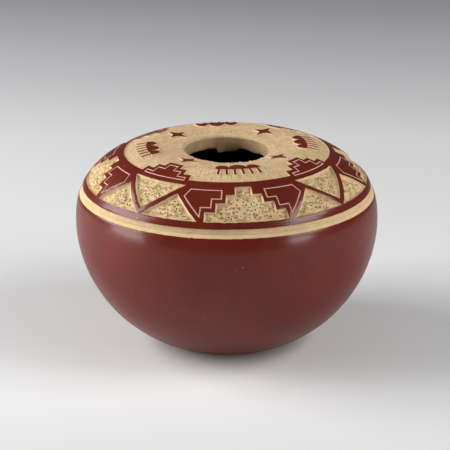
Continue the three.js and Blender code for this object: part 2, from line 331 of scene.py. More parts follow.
# A tall bank of light on the left and a weaker one on the right, each from three softboxes: the
# way round from the front and the way up in degrees, the width and height in metres, and watts.
SOFTBOX_DISTANCE = 1.0
SOFTBOXES = {
    "left_low": (-78, 3, 0.52, 0.24, 3.4),
    "left_mid": (-90, 19, 0.8, 0.26, 6.0),
    "left_high": (-98, 36, 0.8, 0.34, 7.6),
    "right_low": (56, 8, 0.32, 0.22, 1.65),
    "right_mid": (64, 26, 0.5, 0.28, 2.5),
    "right_high": (78, 42, 0.6, 0.3, 4.5),
}

# The floor, and its colours from the front towards the back: darker at the front edge and towards the
# back, which is painted shade where the softboxes' light falls off.
FLOOR_HALF_WIDTH = 3
FLOOR_DROP = 0.0001
FLOOR_SHADE_RAMP_ENDS = (-0.16, 0.5)
FLOOR_SHADE_RAMP = [
    (0, (201, 202, 204)), (0.16, (228, 230, 231)), (0.26, (226, 228, 229)),
    (0.4, (219, 220, 222)), (0.59, (212, 213, 215)), (0.7, (196, 197, 200)), (1, (153, 154, 159)),
]


def wall_outline():
    """Half the outer wall from the foot's edge up to the lip, as radius and height."""
    share = np.linspace(0, 1, WALL_SAMPLES)

    def swell(turn, inner, rise, out, up):
        radius = inner + (BODY_RADIUS - inner) * np.clip(np.cos(turn), 0, 1) ** (2 / out)
        return np.stack([radius, WIDEST_HEIGHT + rise * np.sin(turn) ** (2 / up)], 1)

    foot_turn = acos((FOOT_RADIUS / BODY_RADIUS) ** (BELLY_ROUNDNESS[0] / 2))
    drop = WIDEST_HEIGHT / sin(foot_turn) ** (2 / BELLY_ROUNDNESS[1])
    belly = swell(foot_turn * (1 - share), 0, -drop, *BELLY_ROUNDNESS)
    shoulder = swell(share * pi / 2, CROWN_RADIUS, SHOULDER_HEIGHT, *SHOULDER_ROUNDNESS)
    inward = (CROWN_RADIUS - MOUTH_RADIUS - LIP_ROUNDING) * share
    height = WIDEST_HEIGHT + SHOULDER_HEIGHT - LIP_DROP * share**2
    collar = np.stack([CROWN_RADIUS - inward, height], 1)
    return np.concatenate([belly, shoulder[1:], collar[1:]])


def unit(vectors):
    """Each of the vectors at a length of 1."""
    return vectors / np.linalg.norm(vectors, axis=1)[:, None]


outline = wall_outline()
steps = np.hypot(*np.diff(outline, axis=0).T)
lengths = np.concatenate([[0], np.cumsum(steps)])
even_lengths = np.linspace(0, lengths[-1], WALL_SAMPLES)
even_wall = np.stack([np.interp(even_lengths, lengths, values) for values in outline.T], 1)
tangents = unit(np.gradient(even_wall, axis=0))

LIP = lengths[-1]
GROOVE_LOW = lengths[WALL_SAMPLES - 1] + WIDEST_TO_GROOVE
GROOVE_TOP = GROOVE_LOW + GROOVE_WIDTH
COLLAR_EDGE = GROOVE_TOP + (LIP - GROOVE_TOP) * BAND_SHARE
COLLAR_WIDTH = LIP - COLLAR_EDGE
WINDOW_BASE = GROOVE_TOP + WINDOW_MARGIN
WINDOW_TOP = COLLAR_EDGE - WINDOW_MARGIN
HANGING_POINT = WINDOW_BASE + HANGING_POINT_RISE
TAB_TOP = COLLAR_EDGE + COLLAR_WIDTH * TAB_SHARE
CLOUD_BASE = COLLAR_EDGE + CLOUD_RISE
STAR_MIDDLE = (TAB_TOP + LIP) / 2
MAP_MIDDLE = MOUTH_RADIUS + LIP_ROUNDING


def wall_point(along, lift=0.0):
    """Radius and height at a length along the wall, lifted outwards from it."""
    columns = [*even_wall.T, *tangents.T]
    radius, height, right, up = (np.interp(along, even_lengths, values) for values in columns)
    return radius + lift * up, height - lift * right


def wobble(points, size, seed=0.0):
    """Smooth noise from about -1 to 1 at each point, with features of about that size."""
    shift = Vector((seed, seed, seed))
    return np.array([noise.noise(Vector(point).to_3d() / size + shift) for point in points])


def layered(points, layers, start=0.0):
    """Layers of noise at each point, on top of a height to start from."""
    return sum((height * wobble(points, size, seed) for height, size, seed in layers), start)


def on_pot(radius, height, angle):
    """Points round the upright axis. The angle is 0 at the front and grows to the right."""
    return np.stack([radius * np.sin(angle), -radius * np.cos(angle), height + 0 * angle], -1)


def pressed(points):
    """Shapes points of the wall by hand: soft hollows inwards, nowhere outside the wall."""
    hollow = layered(points, HOLLOW_LAYERS, MIDDLE_HOLLOW)
    radius = np.hypot(*points.T[:2])
    from_mouth = np.clip((radius - MOUTH_RADIUS) / HOLLOW_FADE, 0, 1)
    shrink = 1 - np.clip(hollow, LEAST_HOLLOW, None) * from_mouth / np.maximum(radius, 1)
    return points * np.stack([shrink, shrink, np.ones(len(points))], 1)


def wall_points(along, angle, lift):
    """Points on the hand-shaped wall."""
    return pressed(on_pot(*wall_point(along, lift), angle))


def to_map(along, angle):
    """The flat map of the shoulder, seen from above: lengths along the wall are true on it."""
    reach = MAP_MIDDLE + LIP - along
    return np.stack([reach * np.sin(angle), -reach * np.cos(angle)], -1)


def from_map(points):
    """The length along the wall and the angle of points on the map."""
    reach = np.hypot(*points.T)
    return MAP_MIDDLE + LIP - reach, np.arctan2(points[:, 0], -points[:, 1])


def stops_between(corners):
    """Points at most a cutting step apart on the lines from each corner to the next."""
    stops = []
    for start, end in zip(corners, corners[1:]):
        start, end = np.array(start, float), np.array(end, float)
        pieces = ceil(np.linalg.norm(end - start) / CUT_STEP)
        stops += [start + (end - start) * piece / pieces for piece in range(pieces)]
    return np.array(stops)


def stray(loop, distance):
    """The same loop, off its line by up to about the distance, as a hand strays."""
    across, along = wobble(loop, STRAY_LENGTH, seed=3), wobble(loop, STRAY_LENGTH, seed=8)
    return loop + distance * np.column_stack([across, along])


def anticlockwise(loop):
    """The loop, turned round if it runs clockwise."""
    after = np.roll(loop, -1, axis=0)
    area = (loop[:, 0] * after[:, 1] - loop[:, 1] * after[:, 0]).sum()
    return loop if area > 0 else loop[::-1]


def gap_to(points, loop):
    """The distance from each point to the nearest side of the loop."""
    sides = np.roll(loop, -1, axis=0) - loop
    from_starts = points[:, None] - loop[None]
    share = (from_starts * sides).sum(2) / (sides**2).sum(1)
    nearest = np.clip(share, 0, 1)[..., None] * sides
    return np.linalg.norm(from_starts - nearest, axis=2).min(1)


def grown(loop, distance):
    """The anticlockwise loop moved outwards by a distance, or inwards by a negative one."""
    before = unit(loop - np.roll(loop, 1, axis=0))
    after = unit(np.roll(loop, -1, axis=0) - loop)
    bisector = np.column_stack([before[:, 1] + after[:, 1], -before[:, 0] - after[:, 0]])
    mitre = bisector / np.maximum(1 + (before * after).sum(1), MITRE_LIMIT)[:, None]
    moved = loop + distance * mitre
    return moved[gap_to(moved, loop) > OFFSET_KEPT * abs(distance)]


def inside(points, loop):
    """Whether each point lies inside the loop."""
    found = np.zeros(len(points), bool)
    for (x0, y0), (x1, y1) in zip(loop, np.roll(loop, -1, axis=0)):
        crosses = (y0 > points[:, 1]) != (y1 > points[:, 1])
        if crosses.any():
            x = x0 + (points[:, 1] - y0) * (x1 - x0) / (y1 - y0)
            found ^= crosses & (points[:, 0] < x)
    return found


def stepped(base, top, half_width, top_half_width, count):
    """The corners of a stepped outline that narrows upwards."""
    run = (half_width - top_half_width) / (count - 1)
    rise = (top - base) / count
    right = []
    for step in range(count):
        across = half_width - step * run
        right += [(across, base + step * rise), (across, base + (step + 1) * rise)]
    return right + [(-across, along) for across, along in reversed(right)]


def mirrored(corners):
    """The corners of the same shape on the other side."""
    return [(-across, along) for across, along in corners]


def upright_corners():
    """The upright window on the right of a hanging one, with its far foot by the terrace."""
    lean = HANGING_HALF_WIDTH / (WINDOW_TOP - HANGING_POINT)
    near = BAR_WIDTH * hypot(1, lean) - HANGING_POINT_RISE * lean
    pitch = wall_point(WINDOW_BASE)[0] * pi / REPEATS
    far = pitch - TERRACE_HALF_WIDTH - WINDOW_GAP
    apex = (near + UPRIGHT_HEIGHT * lean, WINDOW_BASE + UPRIGHT_HEIGHT)
    return [(near, WINDOW_BASE), (far, WINDOW_BASE), apex]


def cloud_corners():
    """Three round lobes on a bar, and rain lines that fall outwards from it."""
    half = CLOUD_MIDDLE_LOBE + 2 * CLOUD_SIDE_LOBE
    corners = [(-half, CLOUD_BASE)]
    left = -half
    for lobe in (CLOUD_SIDE_LOBE, CLOUD_MIDDLE_LOBE, CLOUD_SIDE_LOBE):
        for turn in np.linspace(pi, 0, LOBE_CORNERS):
            across = left + lobe + lobe * cos(turn)
            corners.append((across, CLOUD_BASE + CLOUD_BAR + lobe * sin(turn)))
        left += 2 * lobe
    corners.append((half, CLOUD_BASE))
    for line in reversed(range(RAIN_LINES)):
        middle = -half + (line + 0.5) * 2 * half / RAIN_LINES
        for side, along in ((1, 0), (1, RAIN_LENGTH), (-1, RAIN_LENGTH), (-1, 0)):
            corners.append((middle + side * RAIN_WIDTH / 2, CLOUD_BASE - along))
    following = corners[1:] + corners[:1]
    return [here for here, after in zip(corners, following) if dist(here, after) > JOIN_DISTANCE]


def star_corners():
    """A star whose points have a narrow waist between them."""
    corners = []
    for corner in range(2 * STAR_POINTS):
        reach = STAR_WAIST if corner % 2 else COLLAR_WIDTH * STAR_SHARE
        turn = corner * pi / STAR_POINTS
        corners.append((reach * cos(turn), STAR_MIDDLE + reach * sin(turn)))
    return corners


def field_line_corners():
    """The fine incised outline in the slip between a terrace and an upright, on the right."""
    run = (TERRACE_HALF_WIDTH - TERRACE_TOP_HALF_WIDTH) / (TERRACE_STEPS - 1)
    rise = (WINDOW_TOP - WINDOW_BASE) / TERRACE_STEPS
    _, far, apex = upright_corners()
    slope = (far[0] - apex[0]) / UPRIGHT_HEIGHT
    shift = LINE_INSET * hypot(1, slope)

    def beside_upright(height):
        return TERRACE_HALF_WIDTH + WINDOW_GAP - shift + slope * height

    first = TERRACE_HALF_WIDTH + LINE_INSET
    foot = (first - TERRACE_HALF_WIDTH - WINDOW_GAP + shift) / slope
    tip = UPRIGHT_HEIGHT - LINE_INSET / 2
    top = TERRACE_STEPS * rise - LINE_INSET
    low_step, high_step = rise + LINE_INSET, 2 * rise + LINE_INSET
    corners = [
        (first, foot), (beside_upright(tip), tip), (beside_upright(tip) - LINE_INSET, top),
        (first - 2 * run, top), (first - 2 * run, high_step),
        (first - run, high_step), (first - run, low_step), (first, low_step),
    ]
    return [(across, WINDOW_BASE + height) for across, height in corners]


def tab_line_corners():
    """The fine incised outline inside a tab."""
    foot = COLLAR_EDGE - TAB_LINE_FOOT
    widths = (TAB_HALF_WIDTH - LINE_INSET, TAB_TOP_HALF_WIDTH - LINE_INSET)
    corners = stepped(COLLAR_EDGE - LINE_INSET, TAB_TOP - LINE_INSET, *widths, TAB_STEPS)
    return [(across, max(along, foot)) for across, along in corners]


def turns(share):
    """The directions of one motif in each repeat. Share is its place within the repeat."""
    return [PATTERN_TURN + (copy + share) * tau / REPEATS for copy in range(REPEATS)]


def collar_border():
    """The slip's edge round the collar: a circle with the stepped tabs."""
    circle_radius = wall_point(COLLAR_EDGE)[0]
    tab = mirrored(stepped(COLLAR_EDGE, TAB_TOP, TAB_HALF_WIDTH, TAB_TOP_HALF_WIDTH, TAB_STEPS))
    corners = []
    for turn in turns(0.5):
        corners += [(turn * circle_radius + across, along) for across, along in tab]
    corners.append((corners[0][0] + tau * circle_radius, COLLAR_EDGE))
    stops = stops_between(corners)
    return anticlockwise(stray(to_map(stops[:, 1], stops[:, 0] / circle_radius), MOTIF_STRAY))


def angles(count):
    """A number of ways spread evenly round the pot."""
    return np.arange(count) * tau / count


def ring(along, count):
    """A circle round the wall on the map."""
    return to_map(along, angles(count))


# The clay's lift at a point that lies in the field of a label, on no loop of its own.
FIELD_LIFTS = {
    "floor": WINDOW_FLOOR,
    "pit": WINDOW_FLOOR - PIT_DEPTH / 3,
    "core": WINDOW_FLOOR - PIT_DEPTH / 2,
    "side": (UNDER_SLIP + COLLAR_FLOOR) / 2,
    "collar": COLLAR_FLOOR,
    "scratch": COLLAR_FLOOR - SCRATCH_DEPTH / 2,
}


class Carving:
    """The loops and points of the shoulder and collar on the map, with their lifts."""

    def __init__(self):
        self.points, self.lifts = [], []
        self.loops, self.labels = [], []

    def add(self, points, slip_lift=nan, clay_lift=nan):
        """Adds points and gives their numbers. The field that they lie in settles a missing lift."""
        first = len(self.points)
        self.points += [tuple(point) for point in points]
        self.lifts += [(slip_lift, clay_lift)] * len(points)
        return list(range(first, len(self.points)))

    def add_loop(self, loop, label, slip_lift=nan, clay_lift=nan):
        """Loops go in from the outermost to the innermost. The label is that of what is inside."""
        self.loops.append(self.add(loop, slip_lift, clay_lift))
        self.labels.append(label)

    def triangulate(self):
        """Map points with their lifts in slip and clay, and triangles with a label each."""
        coordinates = [Vector(point) for point in self.points]
        points, _, faces, origins, _, owners = delaunay_2d_cdt(
            coordinates, [], self.loops, INSIDE_ONLY, MERGE_DISTANCE, True
        )
        owned = [(face, self.labels[max(loops)]) for face, loops in zip(faces, owners) if loops]
        triangles, labels = zip(*[row for row in owned if row[1] != "mouth"])
        lifts = np.full((len(points), 2), nan)
        for index, origin in enumerate(origins):
            if origin:
                lifts[index] = self.lifts[origin[0]]
        slip_lifts, clay_lifts = np.nan_to_num(lifts[:, 0]), lifts[:, 1]
        for triangle, label in zip(triangles, labels):
            for corner in triangle:
                if isnan(clay_lifts[corner]):
                    clay_lifts[corner] = FIELD_LIFTS.get(label, UNDER_SLIP)
        return np.array([tuple(point) for point in points]), slip_lifts, clay_lifts, triangles, labels


def traced(share, base, distance, *motifs):
    """Loops on the map, cut by hand, for motifs that stand at this share of every repeat.

    A motif's corners are lengths across it, measured round the wall at the base, and along.
    """
    loops = []
    for turn in turns(share):
        for corners in motifs:
            stops = stops_between(corners + corners[:1])
            loop = to_map(stops[:, 1], turn + stops[:, 0] / wall_point(base)[0])
            loops.append(anticlockwise(stray(loop, distance)))
    return loops


def grid(spacing):
    """A shaken grid of points over the map between the lip and the groove."""
    reach = MAP_MIDDLE + LIP - GROOVE_TOP
    points = []
    for number, y in enumerate(np.arange(-reach, reach, spacing * sqrt(3) / 2)):
        row = np.arange(-reach, reach, spacing) + (number % 2) * spacing / 2
        points += [(x, y) for x in row]
    shake = np.array([(dice.uniform(-1, 1), dice.uniform(-1, 1)) for _ in points])
    points = np.array(points) + shake * spacing * GRID_SHAKE
    distance = np.hypot(*points.T)
    kept = (distance > MAP_MIDDLE + spacing / 2) & (distance < reach - EDGE_ROUNDING - spacing / 2)
    return points[kept]


def tree_of(points):
    """A search tree over points of the map."""
    tree = kdtree.KDTree(len(points))
    for index, point in enumerate(points):
        tree.insert((point[0], point[1], 0), index)
    tree.balance()
    return tree


def clear_of(points, tree, distance):
    """The points that keep a distance from everything in the tree."""
    kept = [tree.find((x, y, 0))[2] > distance for x, y in points]
    return points[np.array(kept, bool)]


def pit_centres(floor, edges):
    """Places for the pits in one window: crowded here, sparse there, and none near its sides."""
    low, high = floor.min(0), floor.max(0)
    darts = np.array([
        (dice.uniform(low[0], high[0]), dice.uniform(low[1], high[1]))
        for _ in range(int((high - low).prod() * PIT_DARTS))
    ])
    centres = []
    for x, y in clear_of(darts[inside(darts, floor)], edges, PIT_CLEARANCE):
        crowding = PIT_CROWDING * noise.noise(Vector((x, y, 0)) / PIT_CROWD_SIZE)
        spacing = PIT_SPACING * (dice.uniform(*PIT_SPACING_SHARES) + crowding)
        if all(dist((x, y), other) > spacing for other in centres):
            centres.append((x, y))
    return centres


def pit_loop(centre):
    """A small gouge with an irregular edge, some round and some drawn out to a stroke."""
    heading = dice.uniform(0, pi)
    length = dice.choice(PIT_HALF_LENGTHS)
    width = dice.uniform(*PIT_HALF_WIDTHS)
    loop = []
    for corner in range(PIT_CORNERS):
        turn = tau * corner / PIT_CORNERS
        along = length * cos(turn) * dice.uniform(*PIT_CORNER_SHARES)
        across = width * sin(turn) * dice.uniform(*PIT_CORNER_SHARES)
        loop.append((
            centre[0] + along * cos(heading) - across * sin(heading),
            centre[1] + along * sin(heading) + across * cos(heading),
        ))
    return np.array(loop)


def scratch_middles(edges):
    """Places for scratches that fan out from the mouth, clear of the cuts beside them."""
    middles = []
    share = np.array([0, 0.5, 1])
    for start, end, places in SCRATCH_BELTS:
        for place in range(places):
            along = LIP - start - dice.uniform(*SCRATCH_STARTS)
            while along > max(LIP - end, COLLAR_EDGE):
                length = dice.uniform(*SCRATCH_LENGTHS)
                lean = share * dice.uniform(-SCRATCH_LEAN, SCRATCH_LEAN)
                shake = dice.uniform(-SCRATCH_SHAKE, SCRATCH_SHAKE)
                way = (place + shake + lean) * tau / places
                middle = to_map(along - share * length, way)
                along -= length + dice.uniform(*SCRATCH_GAPS)
                if all(edges.find((x, y, 0))[2] > SCRATCH_CLEARANCE for x, y in middle):
                    middles.append(middle)
    return np.array(middles)


def scratch_loops(edges, collar, motifs):
    """Narrow scratches on the bare clay of the collar, none of them on a motif of slip."""
    middles = scratch_middles(edges)
    centres = middles[:, 1]
    kept = inside(centres, collar)
    for motif in motifs:
        kept &= ~inside(centres, motif)
    loops = []
    for first, centre, last in middles[kept]:
        heading = last - first
        side = np.array([-heading[1], heading[0]]) * SCRATCH_HALF_WIDTH / np.linalg.norm(heading)
        loops.append(np.array([first, centre - side, last, centre + side]))
    return loops


def sunk_field(carving, loop, side, label, lift):
    """Adds a sunk field's rounded edge, sloped side and floor, and gives the floor's outline."""
    floor = grown(loop, -side)
    carving.add_loop(grown(loop, EDGE_ROUNDING), "slip", 0, UNDER_SLIP)
    carving.add_loop(loop, "side", -EDGE_DROP, -SLIP_THICKNESS)
    carving.add_loop(floor, label, clay_lift=lift)
    return floor


def window_cuts(carving):
    """Adds the windows, with a tool line round the floor of each, and gives their floors."""
    terrace = stepped(
        WINDOW_BASE, WINDOW_TOP, TERRACE_HALF_WIDTH, TERRACE_TOP_HALF_WIDTH, TERRACE_STEPS
    )
    hanging = [(HANGING_HALF_WIDTH, WINDOW_TOP), (-HANGING_HALF_WIDTH, WINDOW_TOP), (0, HANGING_POINT)]
    upright = upright_corners()
    terraces = traced(0, WINDOW_BASE, WINDOW_STRAY, terrace)
    triangles = traced(0.5, WINDOW_BASE, WINDOW_STRAY, hanging, upright, mirrored(upright))
    floors = []
    for loop in terraces + triangles:
        floors.append(sunk_field(carving, loop, WINDOW_SIDE, "floor", WINDOW_FLOOR))
        for step, depth in ((-1, 0), (0, TOOL_LINE_DEPTH), (1, 0)):
            inset = WINDOW_SIDE + TOOL_LINE_INSET + step * TOOL_LINE_HALF_WIDTH
            carving.add_loop(grown(loop, -inset), "floor", clay_lift=WINDOW_FLOOR - depth)
    return floors


def slip_cuts(carving):
    """Adds the edge of the slip at the groove, and the incised lines in it."""
    for step, slip_lift, clay_lift in ((0, -EDGE_DROP, -SLIP_THICKNESS), (1, 0, UNDER_SLIP)):
        circle = ring(GROOVE_TOP + step * EDGE_ROUNDING, GROOVE_SEGMENTS)
        carving.add_loop(stray(circle, MOTIF_STRAY), "slip", slip_lift, clay_lift)
    right = field_line_corners()
    field_lines = traced(0, WINDOW_BASE, MOTIF_STRAY, right, mirrored(right))
    tab_lines = traced(0.5, COLLAR_EDGE, MOTIF_STRAY, tab_line_corners())
    for loop in field_lines + tab_lines:
        carving.add_loop(grown(loop, LINE_HALF_WIDTH), "line", 0, UNDER_SLIP)
        carving.add_loop(loop, "line", -LINE_DEPTH, UNDER_SLIP)
        carving.add_loop(grown(loop, -LINE_HALF_WIDTH), "slip", 0, UNDER_SLIP)


def collar_cuts(carving):
    """Adds the collar's floor and the slip motifs that stand on it, and gives their outlines."""
    collar = sunk_field(carving, collar_border(), COLLAR_SIDE, "collar", COLLAR_FLOOR)
    clouds = traced(0, CLOUD_BASE, MOTIF_STRAY, cloud_corners())
    stars = traced(0.5, STAR_MIDDLE, MOTIF_STRAY, star_corners())
    for kind, loops in (("cloud", clouds), ("star", stars)):
        for number, loop in enumerate(loops, 1):
            node = f"{kind}_slip_{number}"
            carving.add_loop(grown(loop, COLLAR_SIDE), "side", clay_lift=COLLAR_FLOOR)
            carving.add_loop(loop, node, -EDGE_DROP, -SLIP_THICKNESS)
            carving.add_loop(grown(loop, -EDGE_ROUNDING), node, 0, UNDER_SLIP)
    return collar, clouds + stars


def carve():
    """Lays every cut out on the map, and fills the fields between with points."""
    carving = Carving()
    slip_cuts(carving)
    floors = window_cuts(carving)
    collar, motifs = collar_cuts(carving)

    edges = tree_of(carving.points)
    for loop in scratch_loops(edges, collar, motifs):
        # Each scratch takes a darker colour: painted shade in its groove.
        carving.add_loop(loop, "scratch", clay_lift=COLLAR_FLOOR)
        carving.add([loop.mean(0)], clay_lift=COLLAR_FLOOR - SCRATCH_DEPTH)
    fine, middling, coarse = grid(FLOOR_SPACING), grid(COLLAR_SPACING), grid(SLIP_SPACING)
    for floor in floors:
        centres = pit_centres(floor, edges)
        for centre in centres:
            loop = pit_loop(centre)
            depth = PIT_DEPTH * dice.uniform(*PIT_DEPTH_SHARES)
            core = centre + (loop - centre) * PIT_CORE
            # Each pit's side and core take darker colours: painted shade.
            carving.add_loop(loop, "pit", clay_lift=WINDOW_FLOOR)
            carving.add_loop(core, "core", clay_lift=WINDOW_FLOOR - depth * PIT_CORE)
            carving.add([centre], clay_lift=WINDOW_FLOOR - depth)
        candidates = clear_of(fine[inside(fine, floor)], edges, FLOOR_SPACING / 2)
        carving.add(clear_of(candidates, tree_of(centres), FLOOR_SPACING * PIT_ROOM))
        coarse = coarse[~inside(coarse, floor)]
    cuts = tree_of(carving.points)
    carving.add(clear_of(middling[inside(middling, collar)], cuts, COLLAR_SPACING * CUT_ROOM))
    carving.add(clear_of(coarse[~inside(coarse, collar)], cuts, SLIP_SPACING * CUT_ROOM))
    carving.add_loop(ring(LIP, LIP_SEGMENTS), "mouth", clay_lift=COLLAR_FLOOR)
    return carving


def placed(name, data):
    """A new object that is in the scene."""
    made = bpy.data.objects.new(name, data)
    bpy.context.scene.collection.objects.link(made)
    return made


class Shape:
    """Points in millimetres and the faces on them, each with the name of its finish."""

    def __init__(self):
        self.points, self.faces, self.finishes = [], [], []
        self.count = 0

    def add(self, points, faces, finishes):
        """Adds points, the faces on them and a finish for each face."""
        self.points.append(points)
        self.faces += [tuple(corner + self.count for corner in face) for face in faces]
        self.finishes += finishes
        self.count += len(points)

    def add_lathe(self, rows, finish):
        """A surface through rows of points that each go once round the pot."""
        count = len(rows[0])
        faces = []
        for low in range(0, (len(rows) - 1) * count, count):
            for here, after in zip(range(count), [*range(1, count), 0]):
                faces.append((low + here, low + after, low + count + after, low + count + here))
        self.add(np.concatenate(rows), faces, [finish] * len(faces))

    def piece(self, name, slot, node):
        """Makes the object, which stands for a node of the CAD model."""
        names = sorted(set(self.finishes))
        mesh = bpy.data.meshes.new(name)
        points = np.concatenate(self.points) * METRES
        mesh.from_pydata(points.tolist(), [], self.faces)
        for finish in names:
            mesh.materials.append(FINISHES[finish])
        mesh.polygons.foreach_set("material_index", [names.index(f) for f in self.finishes])
        joined = bmesh.new()
        joined.from_mesh(mesh)
        bmesh.ops.remove_doubles(joined, verts=joined.verts, dist=JOIN_DISTANCE * METRES)
        joined.to_mesh(mesh)
        joined.free()
        mesh.shade_smooth()
        mesh.set_sharp_from_angle(angle=SHARP_ANGLE)
        made = placed(name, mesh)
        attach(made, "root")
        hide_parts(node)


def fan_marks(along, way):
    """Smooth ridges that fan out from the mouth, from about -1 to 1."""
    return wobble(on_pot(CROWN_RADIUS / FAN_WIDTH, along / FAN_LENGTH, way), 1, seed=14)


def softness(way):
    """From 0 where the lip is crisp and low, at the front right, to 1 where it is soft and high."""
    return (1 + np.cos(way - RAISED_WAY)) / 2


def raised(along, way):
    """How far the collar stands up beside the lip, which isn't quite level."""
    near_lip = np.clip(1 - (LIP - along) / RAISED_WIDTH, 0, 1)
    return RAISED_HEIGHT * softness(way) * near_lip**2


def lip_drop(way):
    """The height of the lip's rounding."""
    return CRISP_LIP_DROP + (SOFT_LIP_DROP - CRISP_LIP_DROP) * softness(way)


def lip_point(turn, way):
    """A circle of the rounded lip, whose edge is notched by the cuts that run out over it."""
    top = wall_point(LIP, COLLAR_FLOOR)
    width = top[0] - MOUTH_RADIUS
    notches = wobble(on_pot(MOUTH_RADIUS, 0, way), NOTCH_LENGTH, seed=5) * (1 - softness(way))
    notch = NOTCH_DEPTH * notches * sin(2 * turn)
    radius = top[0] - width * sin(turn) - notch
    height = top[1] + raised(LIP, way) - lip_drop(way) * (1 - cos(turn)) + notch
    return on_pot(radius, height + FAN_DEPTH * fan_marks(LIP, way) * cos(turn), way)


def rim_rows(way):
    """The mouth's inner wall, down to the ragged end of the last coil and up behind it."""
    top = wall_point(LIP, COLLAR_FLOOR)[1]
    start = top + raised(LIP, way) - lip_drop(way)
    lumps = layered(on_pot(MOUTH_RADIUS, 0, way), LUMP_LAYERS)
    hanging = np.interp((pi - way) * MOUTH_RADIUS, HANGING_WAYS, HANGING_SHARES)
    end = top - RIM_DEPTH + RAGGED_RISE - RAGGED_HEIGHT * lumps - HANGING_DROP * hanging
    bulge = RIM_BULGE * np.clip(lumps, *LUMP_RANGE) - RIM_UNDERCUT
    rows = []
    for share in RIM_SHARES:
        dents = wobble(on_pot(MOUTH_RADIUS, share * RIM_DEPTH, way), RIM_DENT_SIZE, seed=2)
        radius = MOUTH_RADIUS + RIM_DENT_DEPTH * dents * share - bulge * share**2
        rows.append(on_pot(radius, start + share * (end - start), way))
    for back, share in RIM_BACK_STEPS:
        rows.append(on_pot(MOUTH_RADIUS - bulge + back, start + share * (end - start), way))
    return rows


def inside_rows(way):
    """The inside of the wall from under the rim down to the floor, with faint coils."""
    rows = []
    for along in np.arange(LIP - RIM_WIDTH, 0, -COIL_ROW):
        coil = COIL_DEPTH * sin(along * tau / COIL_PITCH)
        rows.append(wall_points(along, way, coil - WALL_THICKNESS))
    radius, height = wall_point(0, -WALL_THICKNESS)
    return rows + [on_pot(radius * share, height, way) for share in INSIDE_FLOOR_SHARES]


def foot_rows(way):
    """The flat foot from its middle to its worn round edge, and the bare clay above it."""
    flat = [on_pot(radius, 0, way) for radius in FOOT_RADII]
    worn = [on_pot(FOOT_RADIUS - step, height, way) for step, height in FOOT_WEAR]
    return flat + worn + [wall_points(along, way, lift) for along, lift in FOOT_WALL]


def groove_edges():
    """The top and the low edge of the groove as lengths and angles, both a little uneven."""
    way = angles(GROOVE_SEGMENTS)
    top = from_map(stray(ring(GROOVE_TOP, GROOVE_SEGMENTS), MOTIF_STRAY))
    low = from_map(stray(ring(GROOVE_LOW, GROOVE_SEGMENTS), MOTIF_STRAY))
    chips = wobble(on_pot(BODY_RADIUS, 0, way), CHIP_SIZE, seed=6) - CHIP_THRESHOLD
    return top, (low[0] - np.clip(chips, 0, None) * CHIP_DEPTH, low[1])


def groove_rows():
    """The groove from its low edge to its top edge, rough everywhere between them."""
    (top, top_way), (low, low_way) = groove_edges()
    rows = []
    top_way = low_way + (top_way - low_way + pi) % tau - pi
    for share, lift in GROOVE_PROFILE:
        along = low + (top - low) * share
        way = low_way + (top_way - low_way) * share
        spread = on_pot(BODY_RADIUS, share * GROOVE_ROUGH_SPREAD, way)
        rough = GROOVE_ROUGHNESS * wobble(spread, GROOVE_ROUGH_SIZE, seed=7) * (0 < share < 1)
        rows.append(wall_points(along, way, lift + rough))
    return rows


def rough_lifts(points, lifts):
    """The clay's lifts with the roughness of cut clay: rough in the windows, ridged on the collar."""
    rough = layered(points, ROUGH_LAYERS)
    depths = [-COLLAR_FLOOR - ROUGH_MARGIN, -COLLAR_FLOOR, -WINDOW_FLOOR]
    roughness = WINDOW_ROUGHNESS * np.interp(-lifts, depths, [0, COLLAR_SHARE, 1])
    ridges = FAN_DEPTH * np.interp(-lifts, depths, [0, 1, 0])
    along, way = from_map(points)
    return lifts + roughness * rough + ridges * fan_marks(along, way) + raised(along, way)


def clay_piece(points, lifts, triangles, labels):
    """The clay body, with the carving in it."""
    shape = Shape()
    finishes = [CLAY_FINISHES.get(label, "cut_clay") for label in labels]
    shape.add(wall_points(*from_map(points), rough_lifts(points, lifts)), triangles, finishes)
    way = angles(GROOVE_SEGMENTS)
    foot, groove = foot_rows(way), groove_rows()
    rows = np.arange(BARE_FOOT_EDGE + CLAY_ROW / 2, GROOVE_LOW - CLAY_ROW / 4, CLAY_ROW)
    below = [wall_points(row, way, UNDER_SLIP) for row in rows]
    shape.add_lathe(foot, "foot_clay")
    shape.add_lathe([foot[-1], *below, groove[0]], "cut_clay")
    # The bevel takes a lighter colour: painted light on its upward face.
    shape.add_lathe(groove[:BEVEL_ROWS], "bevel_clay")
    shape.add_lathe(groove[BEVEL_ROWS - 1:], "groove_clay")
    way = angles(LIP_SEGMENTS)
    edge = wall_points(LIP, way, rough_lifts(ring(LIP, LIP_SEGMENTS), COLLAR_FLOOR))
    lip = [lip_point(turn, way) for turn in np.linspace(0, pi / 2, LIP_ROWS)[1:]]
    rim = rim_rows(way)
    shape.add_lathe([edge, *lip], "collar_clay")
    # The rim takes a dimmer colour and the inside a near-black one: painted shade.
    shape.add_lathe([lip[-1], *rim[:RIM_LIT_ROWS]], "rim_clay")
    shape.add_lathe([*rim[RIM_LIT_ROWS - 1:], *inside_rows(way)], "inside_clay")
    shape.piece("clay", "buff_clay", "clay_body")


